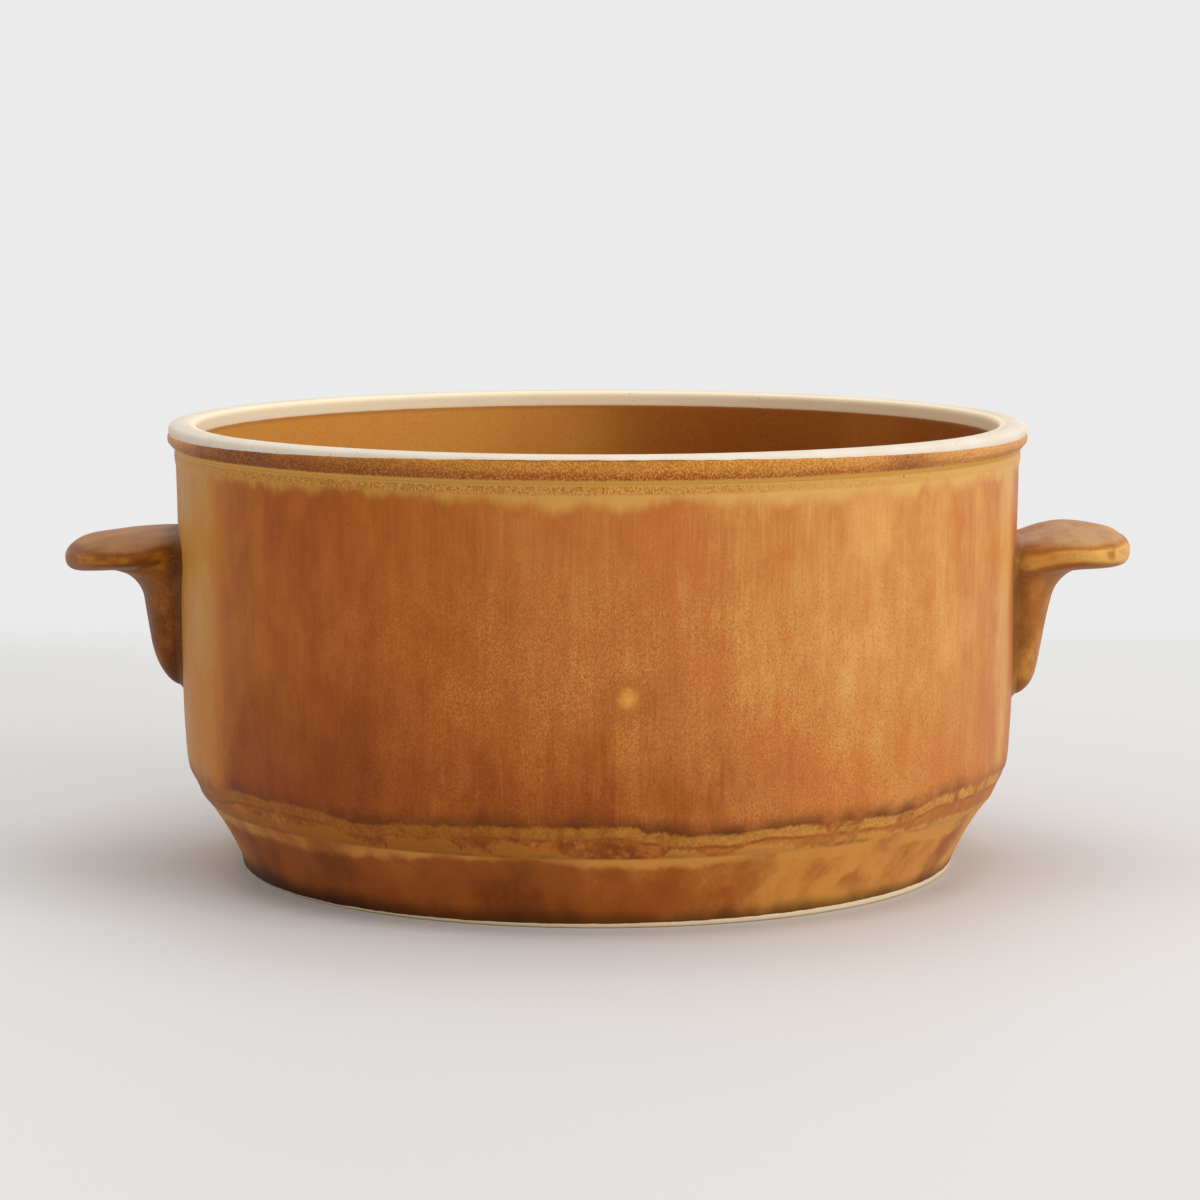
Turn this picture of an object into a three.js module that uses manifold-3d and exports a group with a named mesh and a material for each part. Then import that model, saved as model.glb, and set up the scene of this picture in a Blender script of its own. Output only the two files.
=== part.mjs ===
// Stoneware bowl with two lug handles, in millimetres, +Z up.
// The bowl is one thrown clay body, glazed inside and out up to a bare rim and down to a bare foot.
// Each lug is formed apart, cut to the curve of the wall and luted on with slip before the firing.
// The origin is the centre of the foot, on the surface that the bowl stands on; the lugs lie along X.
import * as THREE from "three";
import { mergeVertices } from "three/addons/utils/BufferGeometryUtils.js";
import Module from "manifold-3d";

const wasm = await Module();
wasm.setup();

// Bowl: overall sizes
const bowlHeight = 70.5;
const rimDiameter = 136;
const footDiameter = 113.7;
const shoulderDiameter = 131.6;
const shoulderHeight = 17.6;
const wallThickness = 4.2;
const floorThickness = 5.5;

// Rim: a flat bare land, a rounded bead below it, a fine groove, then a low band
const rimLandWidth = 2.8;
const rimEdgeRound = 0.9;
const bareRimDepth = 2.3;
const beadHeight = 3.7;
const beadProud = 1.3;
const grooveHeight = 0.6;
const grooveDepth = 0.3;
const bandHeight = 2.2;
const bandProud = 0.15;

// Lower wall: two turned rings under the shoulder, a slightly hollow cone, and a bare foot
const ringCount = 2;
const ringHeight = 2.95;
const ringInset = 1.5;
const ringProud = 0.2;
const coneHollow = 0.4;
const shoulderBlend = 5.2;
const footEdgeHeight = 3.4;
const footEdgeProud = 0.9;
const footEdgeRound = 1.1;
const footLandWidth = 5.2;
const footRecess = 1.8;

// Inside: how far up and in the wall turns into the floor
const insideCurveHeight = 16.5;
const insideCurveReach = 16.5;

// Lug handle: a flat thumb tab, and a tapering leg that turns down from it along the wall
const tabBelowRim = 17.5;
const tabReach = 18.2;
const tabWidth = 37;
const tabRootWidth = 28;
const tabThickness = 4.6;
const tabDroop = 0.5;
const legLength = 25.8;
const legEndRound = 8;
const legThickness = 6.2;
const legEndThickness = 4.2;
const legEndWidth = 13;
const underTabFillet = 4.2;

// Luted joint: the slip between lug and wall, and the fillet wiped round it
const lutingGap = 0.3;
const slipFillet = 1.9;

// How finely curves are cut into flat faces
const bowlSegments = 64;
const curveSteps = 4;
const tabRingPoints = 36;
const legSideSteps = 8;

// Radii and heights that follow from the sizes above
const rimRadius = rimDiameter / 2;
const footRadius = footDiameter / 2;
const shoulderRadius = shoulderDiameter / 2;
const wallTopRadius = rimRadius - beadProud;
const beadBase = bowlHeight - beadHeight;
const grooveBase = beadBase - grooveHeight;
const bandBase = grooveBase - bandHeight;
const coneTopHeight = shoulderHeight - ringCount * ringHeight;
const floorHeight = footRecess + floorThickness;
const bareRimInside = rimRadius - 2 * rimEdgeRound - rimLandWidth;

// Outer radius of the plain wall at a height, between the shoulder and the band under the rim.
function wallRadius(z) {
  const share = (z - shoulderHeight) / (bandBase - shoulderHeight);
  return THREE.MathUtils.lerp(shoulderRadius, wallTopRadius, share);
}

// Outside of the bowl, from the edge of the foot land up to the rim land, grown outwards by a distance.
function drawOutside(path, grow) {
  const line = (r, z) => path.lineTo(r + grow, z);
  const bend = (rc, zc, r, z) => path.quadraticCurveTo(rc + grow, zc, r + grow, z);
  const coneFootRadius = footRadius + footEdgeProud;

  // Foot: a rounded bare edge, then a short upright band
  line(footRadius - footEdgeRound, 0);
  bend(footRadius, 0, footRadius, footEdgeRound);
  bend(footRadius, footEdgeHeight / 2, coneFootRadius, footEdgeHeight);

  // Cone up to the lower ring, then the turned rings, each a shallow bulge
  const ringFootRadius = shoulderRadius - ringCount * ringInset;
  bend((coneFootRadius + ringFootRadius) / 2 - 2 * coneHollow, (footEdgeHeight + coneTopHeight) / 2,
    ringFootRadius, coneTopHeight);
  for (let ring = 0; ring < ringCount; ring++) {
    const r = ringFootRadius + ring * ringInset;
    const z = coneTopHeight + ring * ringHeight;
    bend(r + ringInset / 2 + 2 * ringProud, z + ringHeight / 2, r + ringInset, z + ringHeight);
  }

  // Shoulder and plain wall
  const wallStart = shoulderHeight + shoulderBlend;
  bend(wallRadius(shoulderHeight + shoulderBlend / 2), shoulderHeight + shoulderBlend / 2,
    wallRadius(wallStart), wallStart);
  line(wallTopRadius, bandBase);

  // Low band, fine groove and bead under the rim
  bend(wallTopRadius + 2 * bandProud, bandBase + bandHeight / 2, wallTopRadius + bandProud, grooveBase);
  bend(wallTopRadius + bandProud - 2 * grooveDepth, grooveBase + grooveHeight / 2,
    wallTopRadius + bandProud, beadBase);
  bend(rimRadius, beadBase + beadHeight / 4, rimRadius, beadBase + (2 * beadHeight) / 3);
  line(rimRadius, bowlHeight - rimEdgeRound);
  bend(rimRadius, bowlHeight, rimRadius - rimEdgeRound, bowlHeight);
}

// Full section of the clay body, from the middle of the underside round to the middle of the inner floor.
function bowlProfile() {
  const footInside = footRadius - footEdgeRound - footLandWidth;
  const insideTop = bowlHeight - bareRimDepth;
  const insideStart = floorHeight + insideCurveHeight;
  const insideStartRadius = wallRadius(insideStart) - wallThickness;
  const path = new THREE.Path();
  path.moveTo(0, footRecess);
  path.lineTo(footInside - footRecess, footRecess);
  path.quadraticCurveTo(footInside, footRecess, footInside, 0);
  drawOutside(path, 0);
  path.lineTo(bareRimInside + rimEdgeRound, bowlHeight);
  path.quadraticCurveTo(bareRimInside, bowlHeight, bareRimInside, bowlHeight - rimEdgeRound);
  path.lineTo(bareRimInside, insideTop);
  path.lineTo(insideStartRadius, insideStart);
  path.quadraticCurveTo(insideStartRadius, floorHeight, insideStartRadius - insideCurveReach, floorHeight);
  path.lineTo(0, floorHeight);
  return path.getPoints(curveSteps);
}

// Solid of the bowl's outside right down to its axis, grown outwards: the tool that fits a lug to the wall.
function wallTool(grow) {
  const path = new THREE.Path();
  path.moveTo(0, 0);
  drawOutside(path, grow);
  path.lineTo(0, bowlHeight);
  return solidOf(revolve(path.getPoints(curveSteps)));
}

// A profile in (radius, height), turned about Z.
function revolve(points) {
  return new THREE.LatheGeometry(points, bowlSegments).rotateX(Math.PI / 2);
}

// A closed surface through rings of equal length, with a fan over each end ring.
function loft(rings) {
  const count = rings[0].length;
  const middle = (ring) => ring.reduce((sum, p) => sum.add(p), new THREE.Vector3()).divideScalar(count);
  const last = rings.length - 1;
  const vertices = [...rings.flat(), middle(rings[0]), middle(rings[last])];
  const startCap = rings.length * count;
  const triangles = [];
  for (let k = 0; k < count; k++) {
    const next = (k + 1) % count;
    for (let i = 0; i < last; i++) {
      const [a, b, c, d] = [i * count + k, i * count + next, (i + 1) * count + k, (i + 1) * count + next];
      triangles.push(a, b, d, a, d, c);
    }
    triangles.push(startCap, next, k);
    triangles.push(startCap + 1, last * count + k, last * count + next);
  }
  return new THREE.BufferGeometry().setFromPoints(vertices).setIndex(triangles);
}

// A closed geometry as a manifold-3d solid, with shared vertices merged and collapsed triangles dropped.
function solidOf(geometry) {
  const bare = geometry.clone();
  bare.deleteAttribute("normal");
  bare.deleteAttribute("uv");
  const merged = mergeVertices(bare);
  const index = merged.index.array;
  const kept = [];
  for (let i = 0; i < index.length; i += 3) {
    const [a, b, c] = index.slice(i, i + 3);
    if (a !== b && b !== c && c !== a) kept.push(a, b, c);
  }
  return new wasm.Manifold(new wasm.Mesh({
    numProp: 3,
    vertProperties: new Float32Array(merged.attributes.position.array),
    triVerts: new Uint32Array(kept),
  }));
}

// A manifold-3d solid back as a three.js geometry.
function geometryOf(solid) {
  const { vertProperties, triVerts } = solid.getMesh();
  const geometry = new THREE.BufferGeometry();
  geometry.setAttribute("position", new THREE.BufferAttribute(vertProperties, 3));
  geometry.setIndex(new THREE.BufferAttribute(triVerts, 1));
  geometry.computeVertexNormals();
  return geometry;
}

// Sine and cosine of a rounded rectangle: power 2 is an ellipse, and more is squarer.
function rounded(angle, power) {
  const soften = (v) => Math.sign(v) * Math.abs(v) ** (2 / power);
  return [soften(Math.cos(angle)), soften(Math.sin(angle))];
}

// A concave fillet of a radius: how far it stands out at a distance from the face that it runs on to.
function filletAt(distance, radius) {
  const share = THREE.MathUtils.clamp(1 - distance / radius, 0, 1);
  return radius * (1 - Math.sqrt(1 - share * share));
}

const tabTopHeight = bowlHeight - tabBelowRim;
const legEndHeight = tabTopHeight - legLength;
const lugWallRadius = wallRadius(tabTopHeight - tabThickness / 2);
const seatDepth = wallThickness / 2;

// The wall's own X at a distance across the lug, at a height.
function wallX(y, z) {
  return Math.sqrt(wallRadius(z) ** 2 - y * y);
}

// One ring point pushed out along its own normal by an offset that depends on its distance from the wall.
function pushed(point, normal, offset) {
  const distance = Math.hypot(point.x, point.y) - wallRadius(point.z);
  return point.addScaledVector(normal.normalize(), offset(distance));
}

// Thumb tab: flat sections with round edges, curved like the wall at the root and straight further out.
// It is widest half way out and closes to a round nose.
function tabSolid(offset) {
  const edgePower = 6;
  const nosePower = 8;
  const noseSteps = 8;
  const rootSteps = 8;
  const sideSteps = 4;
  const noseEnd = 0.96;
  const crest = tabReach / 2;
  const rootEnd = slipFillet + 2 * lutingGap;
  const stations = [];
  for (let i = 0; i < rootSteps; i++) {
    stations.push({ out: THREE.MathUtils.lerp(-seatDepth, rootEnd, i / rootSteps), close: 0 });
  }
  for (let i = 0; i < sideSteps; i++) {
    stations.push({ out: THREE.MathUtils.lerp(rootEnd, crest, i / sideSteps), close: 0 });
  }
  for (let i = 0; i <= noseSteps; i++) {
    const close = Math.sin((i / noseSteps) * noseEnd * (Math.PI / 2));
    stations.push({ out: THREE.MathUtils.lerp(crest, tabReach, close), close });
  }
  const rings = stations.map(({ out, close }) => {
    const widening = THREE.MathUtils.smoothstep(out, 0, crest);
    const straightening = THREE.MathUtils.smoothstep(out, rootEnd, crest);
    const planWidth = THREE.MathUtils.lerp(tabRootWidth, tabWidth, widening);
    const halfWidth = (planWidth / 2) * Math.sqrt(1 - close * close);
    const halfThickness = (tabThickness / 2) * Math.sqrt(1 - close ** nosePower);
    const sag = tabDroop * (Math.max(0, out) / tabReach) ** 2;
    return Array.from({ length: tabRingPoints }, (_, k) => {
      const [across, up] = rounded((2 * Math.PI * k) / tabRingPoints, edgePower);
      const y = halfWidth * across;
      const z = tabTopHeight - tabThickness / 2 + halfThickness * up - sag;
      const x = THREE.MathUtils.lerp(wallX(y, z), lugWallRadius, straightening) + out;
      const normal = new THREE.Vector3(0, across / halfWidth, up / halfThickness);
      return pushed(new THREE.Vector3(x, y, z), normal, offset);
    });
  });
  return solidOf(loft(rings));
}

// Leg: D-shaped sections up Z that hug the wall, round at the lower end and flaring into the tab.
function legSolid(offset) {
  const edgePower = 3;
  const endSteps = 6;
  const shaftSteps = 4;
  const filletSteps = 5;
  const firstStep = 0.3;
  const tabUnderside = tabTopHeight - tabThickness;
  const filletStart = tabUnderside - underTabFillet;
  const endTop = legEndHeight + legEndRound;
  const topWidth = tabRootWidth - tabThickness / 2;
  const heights = [];
  for (let i = 0; i < endSteps; i++) {
    const turn = ((i + firstStep) / endSteps) * (Math.PI / 2);
    heights.push(THREE.MathUtils.lerp(legEndHeight, endTop, 1 - Math.cos(turn)));
  }
  for (let i = 0; i < shaftSteps; i++) {
    heights.push(THREE.MathUtils.lerp(endTop, filletStart, i / shaftSteps));
  }
  for (let i = 0; i <= filletSteps; i++) {
    heights.push(filletStart + underTabFillet * Math.sin((i / filletSteps) * (Math.PI / 2)));
  }
  heights.push(tabUnderside + tabThickness / 2);

  // Directions round a section: close together where the side of the leg meets the wall
  const turns = [];
  for (let i = -legSideSteps; i <= legSideSteps; i++) {
    const toMiddle = 1 - Math.abs(i) / legSideSteps;
    turns.push(Math.sign(i) * (1 - toMiddle * toMiddle) * (Math.PI / 2));
  }
  turns.push(Math.PI * 0.75, Math.PI, Math.PI * 1.25);

  const rings = heights.map((z) => {
    const toEnd = THREE.MathUtils.clamp((endTop - z) / legEndRound, 0, 1);
    const closing = Math.sqrt(1 - toEnd * toEnd);
    const rise = THREE.MathUtils.clamp((z - legEndHeight) / (filletStart - legEndHeight), 0, 1);
    const flare = filletAt(tabUnderside - z, underTabFillet);
    const reach = closing * THREE.MathUtils.lerp(legEndThickness, legThickness, rise) + flare;
    const halfWidth = (closing * THREE.MathUtils.lerp(legEndWidth, topWidth, rise)) / 2;
    return turns.map((turn) => {
      const [out, across] = rounded(turn, edgePower);
      const y = halfWidth * across;
      const x = wallX(y, z) + (out > 0 ? reach : seatDepth) * out;
      const sideways = closing * closing;
      const normal = new THREE.Vector3(
        (sideways * Math.max(0, out)) / reach, (sideways * across) / halfWidth, -toEnd / legEndRound);
      return pushed(new THREE.Vector3(x, y, z), normal, offset);
    });
  });
  return solidOf(loft(rings));
}

// Tab and leg in one, still running into the wall.
function lugBlank(offset) {
  return tabSolid(offset).add(legSolid(offset));
}

// The lug, cut to the curve of the wall with the thickness of the slip left free.
function lugGeometry() {
  return geometryOf(lugBlank(() => 0).subtract(wallTool(lutingGap)));
}

// The fillet of slip wiped round the root of the lug, clear of the lug and of the wall.
function slipGeometry() {
  const wiped = lugBlank((distance) => filletAt(distance - lutingGap, slipFillet));
  const lug = lugBlank(() => lutingGap);
  const outer = wallTool(lutingGap + slipFillet);
  return geometryOf(wiped.subtract(lug).subtract(wallTool(lutingGap)).intersect(outer));
}

// Satin stoneware glaze: amber on the wall, browner on the lugs.
const amberGlaze = 0xa8662c;
const brownGlaze = 0x8a5426;
const satin = 0.45;

function piece(name, geometry, color) {
  const material = new THREE.MeshStandardMaterial({ color, roughness: satin, metalness: 0 });
  const mesh = new THREE.Mesh(geometry, material);
  mesh.name = name;
  return mesh;
}

const bowl = new THREE.Group();
bowl.add(piece("bowl_body", geometryOf(solidOf(revolve(bowlProfile()))), amberGlaze));

const lug = lugGeometry();
const slip = slipGeometry();
const sides = { right: 0, left: Math.PI };
for (const [side, turn] of Object.entries(sides)) {
  const seat = new THREE.Group();
  seat.rotation.z = turn;
  seat.add(piece(`${side}_handle`, lug, brownGlaze));
  seat.add(piece(`${side}_luting_slip`, slip, amberGlaze));
  bowl.add(seat);
}

export default bowl;
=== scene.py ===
import math

import bmesh
import bpy
import numpy as np
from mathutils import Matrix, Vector, noise


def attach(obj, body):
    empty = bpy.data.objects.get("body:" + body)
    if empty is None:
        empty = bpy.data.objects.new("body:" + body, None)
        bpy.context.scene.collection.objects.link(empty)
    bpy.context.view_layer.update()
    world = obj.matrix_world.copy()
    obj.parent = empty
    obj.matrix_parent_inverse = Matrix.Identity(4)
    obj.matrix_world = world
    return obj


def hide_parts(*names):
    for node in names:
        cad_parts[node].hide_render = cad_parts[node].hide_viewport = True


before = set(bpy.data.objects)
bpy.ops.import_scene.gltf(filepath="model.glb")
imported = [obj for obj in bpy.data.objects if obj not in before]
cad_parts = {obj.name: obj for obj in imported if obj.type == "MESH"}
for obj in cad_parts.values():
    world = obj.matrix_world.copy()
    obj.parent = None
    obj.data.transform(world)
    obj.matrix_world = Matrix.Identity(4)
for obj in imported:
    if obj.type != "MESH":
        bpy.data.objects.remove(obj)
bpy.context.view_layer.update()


# Clay body: one piece of pale stoneware, thrown on the wheel and turned at the foot.
# The clay stays bare on the rim land, a short way down inside the rim, and under the foot.
# Its profile is in millimetres, as (radius, height), and the wheel tree turns it about Z.

MM = 0.001
RIM_HEIGHT = 70.5
RIM_CROWN = 0.2
RIM_RADIUS = 68.0
FOOT_RADIUS = 56.85
CONE_FOOT = (57.75, 3.4)
RING_FOOT = (62.8, 11.7)
RING_TOP = (64.35, 14.65)
SHOULDER_FOOT = (64.9, 15.8)
SHOULDER = (65.8, 17.6)
WALL_TOP = (66.7, 64.0)
INSIDE_FOOT = (61.72, 23.8)
FLOOR_HEIGHT = 7.3
FLOOR_EDGE = 45.22
BARE_RIM_INSIDE = (63.4, 68.2)
BARE_FOOT_TOP = 0.75
BASE_RECESS = 1.8
CLAY_UNDER_GLAZE = 0.3
CLAY_WOBBLE = 0.006
CLAY_SEGMENTS = 384
PATTERN_RADIUS = 66
WELD = 0.002


def run(path, end, steps=1):
    """Carries a profile on in a straight line."""
    start = path[-1]
    for step in range(1, steps + 1):
        share = step / steps
        path.append(tuple(a + (b - a) * share for a, b in zip(start, end)))


def bend(path, control, end, steps):
    """Carries a profile on through a smooth bend."""
    start = path[-1]
    for step in range(1, steps + 1):
        t = step / steps
        path.append(tuple(
            (1 - t) ** 2 * a + 2 * t * (1 - t) * b + t * t * c
            for a, b, c in zip(start, control, end)
        ))


def wall_radius(height):
    """Outer radius of the plain wall, in millimetres."""
    share = (height - SHOULDER[1]) / (WALL_TOP[1] - SHOULDER[1])
    return SHOULDER[0] + (WALL_TOP[0] - SHOULDER[0]) * share


def outside_path(inset):
    """The outside from the lower glaze edge up to the bead's top, drawn in from the glaze face."""
    path = [(FOOT_RADIUS, BARE_FOOT_TOP)]
    bend(path, (FOOT_RADIUS, 1.7), CONE_FOOT, 9)
    middle = [(a + b) / 2 for a, b in zip(CONE_FOOT, RING_FOOT)]
    bend(path, (middle[0] - 0.6, middle[1]), RING_FOOT, 16)
    bend(path, (63.8, 13.1), RING_TOP, 12)
    bend(path, (64.75, 15.1), SHOULDER_FOOT, 8)
    bend(path, (wall_radius(19.2), 19.2), (wall_radius(27.0), 27.0), 20)
    run(path, WALL_TOP, 34)
    bend(path, (67.0, 65.1), (66.9, 66.1), 7)
    bend(path, (66.8, 66.45), (67.05, 66.8), 6)
    bend(path, (67.6, 67.4), (67.9, 68.3), 9)
    bend(path, (RIM_RADIUS, 68.8), (RIM_RADIUS, 69.4), 5)
    return [(r - inset, z) for r, z in path]


def tooled(path, first, depth, pitch):
    """Cuts shallow turning rings into the flat end of a profile."""
    return path[:first] + [
        (r, z + depth * math.sin(2 * math.pi * r / pitch) * min(1, r / pitch)) for r, z in path[first:]
    ]


def clay_path():
    path = [(0, FLOOR_HEIGHT - CLAY_UNDER_GLAZE)]
    inside = INSIDE_FOOT[0] + CLAY_UNDER_GLAZE
    run(path, (FLOOR_EDGE, path[0][1]), 12)
    bend(path, (inside, path[0][1]), (inside, INSIDE_FOOT[1]), 12)
    run(path, (BARE_RIM_INSIDE[0] + CLAY_UNDER_GLAZE, BARE_RIM_INSIDE[1] - 0.4), 10)
    run(path, (BARE_RIM_INSIDE[0] + 0.12, BARE_RIM_INSIDE[1] - 0.1), 2)
    run(path, (BARE_RIM_INSIDE[0] + 0.05, RIM_HEIGHT - 0.9), 4)
    bend(path, (BARE_RIM_INSIDE[0] + 0.05, RIM_HEIGHT), (64.3, RIM_HEIGHT), 7)
    bend(path, (65.7, RIM_HEIGHT + 2 * RIM_CROWN), (67.0, RIM_HEIGHT), 8)
    bend(path, (RIM_RADIUS - 0.12, RIM_HEIGHT - 0.1), (RIM_RADIUS - 0.15, RIM_HEIGHT - 1.1), 9)
    outside = [p for p in outside_path(CLAY_UNDER_GLAZE)[::2] if 1.6 < p[1] < 68.6]
    path += reversed(outside)
    run(path, (FOOT_RADIUS - 0.15, BARE_FOOT_TOP), 2)
    bend(path, (FOOT_RADIUS - 0.15, 0), (FOOT_RADIUS - 1.1, 0), 7)
    run(path, (50.2, 0), 6)
    bend(path, (50.2, BASE_RECESS), (48.4, BASE_RECESS), 7)
    flat = len(path)
    run(path, (0, BASE_RECESS), 90)
    return tooled(path, flat, 0.05, 2.1)


class Field:
    """A value that varies over a surface. Sums and products of fields become nodes in their tree."""

    def __init__(self, tree, socket):
        self.tree = tree
        self.socket = socket

    def math(self, operation, *others):
        return place_node(self.tree, "ShaderNodeMath", (self,) + others, operation=operation)

    def __add__(self, other):
        return self.math("ADD", other)

    def __sub__(self, other):
        return self.math("SUBTRACT", other)

    def __mul__(self, other):
        return self.math("MULTIPLY", other)

    def __truediv__(self, other):
        return self.math("DIVIDE", other)

    __radd__ = __add__


def feed(tree, sockets, values):
    """Joins fields to inputs in order, and sets the inputs that get a plain value."""
    for socket, value in zip(sockets, values):
        if isinstance(value, Field):
            tree.links.new(value.socket, socket)
        else:
            socket.default_value = value


def place_node(tree, kind, values=(), output=0, **settings):
    """Adds a node, sets its inputs in order from fields or plain values, and gives one output."""
    node = tree.nodes.new(kind)
    for name, setting in settings.items():
        setattr(node, name, setting)
    feed(tree, [socket for socket in node.inputs if socket.enabled], values)
    given = [socket for socket in node.outputs if socket.enabled]
    return Field(tree, given[output])


def ramp(value, low, high, start=0.0, end=1.0):
    """Goes smoothly from start to end as the value goes from low to high."""
    return place_node(value.tree, "ShaderNodeMapRange", (value, low, high, start, end),
                      interpolation_type="SMOOTHSTEP")


def grain(place, scale, seed, detail=2.0, roughness=0.5):
    """Soft noise between 0 and 1, with a mean of about 0.5."""
    return place_node(place.tree, "ShaderNodeTexNoise", (place, seed, scale, detail, roughness),
                      noise_dimensions="4D")


def stretched(place, x, y, z):
    return place_node(place.tree, "ShaderNodeVectorMath", (place, (x, y, z)), operation="MULTIPLY")


def parts_of(place):
    """The three coordinates of a place."""
    return [place_node(place.tree, "ShaderNodeSeparateXYZ", (place,), output=i) for i in range(3)]


def on_rim_circle(place):
    """The place moved to one radius and one height, so that a pattern doesn't follow the relief."""
    level = stretched(place, 1, 1, 0)
    unit = place_node(place.tree, "ShaderNodeVectorMath", (level,), operation="NORMALIZE")
    return stretched(unit, PATTERN_RADIUS, PATTERN_RADIUS, 0)


def add_sockets(tree, inputs, outputs):
    """Names a group's inputs and outputs, and gives the inputs as fields by name."""
    for name, kind, value in inputs:
        socket = tree.interface.new_socket(name, in_out="INPUT", socket_type=kind)
        if value is not None:
            socket.default_value = value
    for name, kind in outputs:
        tree.interface.new_socket(name, in_out="OUTPUT", socket_type=kind)
    start = tree.nodes.new("NodeGroupInput")
    end = tree.nodes.new("NodeGroupOutput")
    return {name: Field(tree, start.outputs[name]) for name, _, _ in inputs}, end


def by_turn(turn, *stops):
    """A value given at angles round the bowl: 0 is the front, 90 the right side."""
    node = turn.tree.nodes.new("ShaderNodeValToRGB")
    turn.tree.links.new((turn / 360 + 0.5).socket, node.inputs[0])
    node.color_ramp.interpolation = "EASE"
    marks = node.color_ramp.elements
    for mark, (angle, value) in zip([marks[0], marks[1]], (stops[0], stops[-1])):
        mark.position = angle / 360 + 0.5
        mark.color = (value, value, value, 1)
    for angle, value in stops[1:-1]:
        marks.new(angle / 360 + 0.5).color = (value, value, value, 1)
    return Field(turn.tree, node.outputs[0])


def turn_of(place):
    """Angle round the bowl in degrees: 0 is the front, 90 the right side."""
    x, y, _ = parts_of(place)
    return x.math("ARCTAN2", y * -1) * (180 / math.pi)


def pool_line(around):
    """Height of the line where the wall's glaze stops running, in millimetres."""
    sway = by_turn(turn_of(around), (-180, 0.5), (-90, 0.4), (-66, 0.36), (-56, 0.76), (-40, 0.7),
                   (-36, 0.4), (-32, 0.24), (-26, 0.46), (-12, 0.66), (-4, 0.6), (2, 0.74), (7, 0.42),
                   (12, 0.18), (18, 0.16), (23, 0.34), (36, 0.34), (43, 0.26), (47, 0.36), (53, 0.8),
                   (66, 0.84), (90, 0.5), (180, 0.5))
    return sway * 3.0 + 14.5


def pool_edge(around):
    """The same line with its small teeth."""
    wave = (grain(around, 0.3, 5.0, 1.0) - 0.5) * 0.7
    rough = ramp(grain(around, 0.1, 6.0, 1.0), 0.38, 0.62, 0.25, 1.0)
    teeth = (grain(around, 0.8, 8.0, 3.0, 0.65) - 0.5) * 2.2 * rough
    return pool_line(around) + wave + teeth


def island_top(around):
    """Height of the thick glaze islands on the lower ring, which all stand on one flat line."""
    stand = by_turn(turn_of(around), (-180, 0.4), (-90, 0.4), (-58, 0.6), (-44, 0.62), (-38, 0.75),
                    (-33, 0.3), (-29, 0.2), (-27, 0.7), (-20, 0.68), (-17, 0.25), (-14, 0.3),
                    (-11, 0.82), (-8, 0.42), (-5, 0.4), (-3, 0.05), (8, 0.05), (10, 0.45), (13, 0.45),
                    (15, 0.1), (18, 0.2), (20, 0.48), (26, 0.5), (28, 0.2), (32, 0.22), (35, 0.5),
                    (40, 0.48), (46, 0.3), (54, 0.42), (66, 0.36), (90, 0.4), (180, 0.4))
    crumbs = (grain(around, 0.9, 18.0, 3.0, 0.65) - 0.5) * 2.6
    return stand * 4.0 + 11.1 + crumbs


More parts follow.
